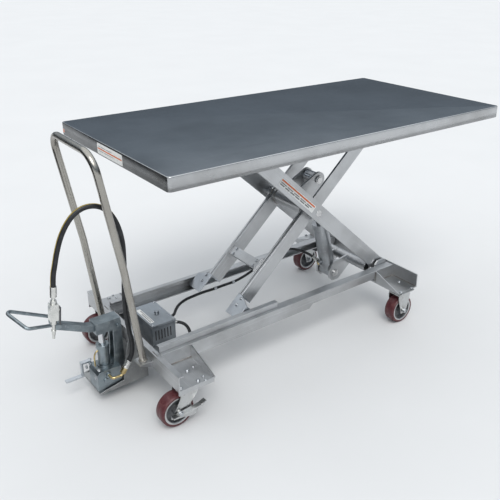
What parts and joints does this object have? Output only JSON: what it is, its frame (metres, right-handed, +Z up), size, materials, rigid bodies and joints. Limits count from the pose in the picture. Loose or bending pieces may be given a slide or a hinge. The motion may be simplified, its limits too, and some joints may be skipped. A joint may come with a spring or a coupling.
{
  "type": "scissor lift table",
  "caption": "Mobile scissor lift table: folded sheet deck on a single scissor, ram, foot and air powered pump, push handle and braked swivel casters.",
  "frame": {"origin": "on the floor under the middle of the table's bounding box, foot pedal included", "axes": "+X from the push handle to the far end, +Y to the pusher's left, +Z up"},
  "size_m": [1.9999, 0.813, 0.9787],
  "materials": {
    "sheet_stainless": "brushed",
    "frame_stainless": "satin",
    "zinc_plate": "satin",
    "cast_body": "cast",
    "chrome_rod": "polished",
    "wheel_tread": "moulded",
    "wheel_hub": "painted",
    "hose_rubber": "matt",
    "fitting_brass": "satin",
    "valve_plate": "plated",
    "unit_paint": "satin",
    "roller_steel": "machined"
  },
  "bodies": {
    "root": {"rail_left": "frame_stainless", "rail_right": "frame_stainless", "roller_guards": "frame_stainless", "front_channel": "frame_stainless", "rear_channel": "frame_stainless", "base_pivots": "frame_stainless", "push_handle": "frame_stainless", "pump_tray": "frame_stainless", "pump_block": "cast_body", "pump_barrel": "cast_body", "pump_fulcrum": "cast_body", "power_unit_case": "unit_paint", "power_unit_lid": "unit_paint", "caster_plates": "zinc_plate", "rear_forks": "zinc_plate", "oil_hoses": "hose_rubber", "air_fitting": "fitting_brass", "air_hose": "hose_rubber", "valve_body": "valve_plate", "air_plug": "valve_plate"},
    "outer_legs": {"outer_leg_left": "frame_stainless", "outer_leg_right": "frame_stainless", "lower_cross_tube": "frame_stainless", "foot_pin": "chrome_rod", "deck_roller_axles": "chrome_rod", "leg_hose": "hose_rubber"},
    "inner_legs": {"inner_leg_left": "frame_stainless", "inner_leg_right": "frame_stainless", "leg_doublers": "frame_stainless", "roller_brackets": "frame_stainless", "cross_brace": "frame_stainless", "torque_tube": "frame_stainless", "centre_pins": "chrome_rod", "rod_ears": "frame_stainless", "rod_pin_ends": "chrome_rod"},
    "deck": {"deck_pan": "sheet_stainless", "deck_underframe": "frame_stainless", "deck_hinges": "frame_stainless"},
    "ram_barrel": {"ram_barrel": "frame_stainless"},
    "ram_rod": {"ram_rod": "chrome_rod"},
    "base_roller_left": {"base_roller_left": "roller_steel"},
    "base_roller_right": {"base_roller_right": "roller_steel"},
    "deck_roller_left": {"deck_roller_left": "roller_steel"},
    "deck_roller_right": {"deck_roller_right": "roller_steel"},
    "front_fork_left": {"front_fork_left": "zinc_plate"},
    "front_fork_right": {"front_fork_right": "zinc_plate"},
    "wheel_brake_left": {"wheel_brake_left": "zinc_plate"},
    "wheel_brake_right": {"wheel_brake_right": "zinc_plate"},
    "pump_lever": {"pump_lever": "cast_body"},
    "pump_plunger": {"pump_plunger": "chrome_rod"},
    "release_pedal": {"release_pedal": "cast_body"},
    "valve_lever": {"valve_lever": "valve_plate"},
    "front_wheel_left": {"front_hub_left": "wheel_hub", "front_tread_left": "wheel_tread"},
    "front_wheel_right": {"front_hub_right": "wheel_hub", "front_tread_right": "wheel_tread"},
    "rear_wheel_left": {"rear_hub_left": "wheel_hub", "rear_tread_left": "wheel_tread"},
    "rear_wheel_right": {"rear_hub_right": "wheel_hub", "rear_tread_right": "wheel_tread"}
  },
  "joints": [
    {"name": "fold", "type": "hinge", "parent": "root", "child": "outer_legs", "pos_m": [0.581, 0, 0.2127], "axis": [0, -1, 0], "range_deg": [0, 32.17]},
    {"name": "scissor_centre", "type": "hinge", "parent": "outer_legs", "child": "inner_legs", "pos_m": [0.20349, 0, 0.55464], "axis": [0, -1, 0], "range_deg": [-64.34, 0]},
    {"name": "deck_level", "type": "hinge", "parent": "inner_legs", "child": "deck", "pos_m": [0.581, 0, 0.89659], "axis": [0, -1, 0], "range_deg": [0, 32.17]},
    {"name": "ram_swing", "type": "hinge", "parent": "outer_legs", "child": "ram_barrel", "pos_m": [0.425, 0, 0.166], "axis": [0, -1, 0], "range_deg": [0, 2.19]},
    {"name": "ram_stroke", "type": "slide", "parent": "ram_barrel", "child": "ram_rod", "axis": [-0.2397, 0, 0.9709], "range_m": [-0.14476, 0]},
    {"name": "base_roller_spin_left", "type": "hinge", "parent": "inner_legs", "child": "base_roller_left", "pos_m": [-0.17402, 0.192, 0.2127], "axis": [0, 1, 0], "continuous": true},
    {"name": "deck_roller_spin_left", "type": "hinge", "parent": "outer_legs", "child": "deck_roller_left", "pos_m": [-0.17402, 0.188, 0.89659], "axis": [0, 1, 0], "continuous": true},
    {"name": "front_swivel_left", "type": "hinge", "parent": "root", "child": "front_fork_left", "pos_m": [-0.54, 0.3234, 0.15], "axis": [0, 0, 1], "continuous": true},
    {"name": "front_wheel_spin_left", "type": "hinge", "parent": "front_fork_left", "child": "front_wheel_left", "pos_m": [-0.582, 0.3234, 0.0635], "axis": [0, 1, 0], "continuous": true},
    {"name": "rear_wheel_spin_left", "type": "hinge", "parent": "root", "child": "rear_wheel_left", "pos_m": [0.562, 0.3234, 0.0635], "axis": [0, 1, 0], "continuous": true},
    {"name": "brake_press_left", "type": "hinge", "parent": "front_fork_left", "child": "wheel_brake_left", "pos_m": [-0.582, 0.3234, 0.0635], "axis": [0, 1, 0], "range_deg": [0, 12]},
    {"name": "base_roller_spin_right", "type": "hinge", "parent": "inner_legs", "child": "base_roller_right", "pos_m": [-0.17402, -0.192, 0.2127], "axis": [0, 1, 0], "continuous": true},
    {"name": "deck_roller_spin_right", "type": "hinge", "parent": "outer_legs", "child": "deck_roller_right", "pos_m": [-0.17402, -0.188, 0.89659], "axis": [0, 1, 0], "continuous": true},
    {"name": "front_swivel_right", "type": "hinge", "parent": "root", "child": "front_fork_right", "pos_m": [-0.54, -0.3234, 0.15], "axis": [0, 0, 1], "continuous": true},
    {"name": "front_wheel_spin_right", "type": "hinge", "parent": "front_fork_right", "child": "front_wheel_right", "pos_m": [-0.582, -0.3234, 0.0635], "axis": [0, 1, 0], "continuous": true},
    {"name": "rear_wheel_spin_right", "type": "hinge", "parent": "root", "child": "rear_wheel_right", "pos_m": [0.562, -0.3234, 0.0635], "axis": [0, 1, 0], "continuous": true},
    {"name": "brake_press_right", "type": "hinge", "parent": "front_fork_right", "child": "wheel_brake_right", "pos_m": [-0.582, -0.3234, 0.0635], "axis": [0, 1, 0], "range_deg": [0, 12]},
    {"name": "pump_stroke", "type": "hinge", "parent": "root", "child": "pump_lever", "pos_m": [-0.648, -0.026, 0.292], "axis": [0, -1, 0], "range_deg": [0, 25], "stiffness_Nm_per_rad": 16, "springref_deg": -28.65},
    {"name": "plunger_slide", "type": "slide", "parent": "root", "child": "pump_plunger", "axis": [0, 0, -1], "range_m": [0, 0.02331]},
    {"name": "release_press", "type": "hinge", "parent": "root", "child": "release_pedal", "pos_m": [-0.74, 0.019, 0.124], "axis": [0, -1, 0], "range_deg": [0, 20], "stiffness_Nm_per_rad": 2, "springref_deg": -22.92},
    {"name": "valve_turn", "type": "hinge", "parent": "root", "child": "valve_lever", "pos_m": [-0.86776, -0.117, 0.46372], "axis": [0.9934, 0, -0.1149], "range_deg": [0, 90]}
  ],
  "couplings": [
    {"joint": "scissor_centre", "follows": "fold", "ratio": -2},
    {"joint": "deck_level", "follows": "fold", "ratio": 1},
    {"joint": "ram_swing", "follows": "fold", "ratio": 0.068069},
    {"joint": "ram_stroke", "follows": "fold", "m_per_rad": -0.25781},
    {"joint": "plunger_slide", "follows": "pump_stroke", "m_per_rad": 0.0533}
  ]
}
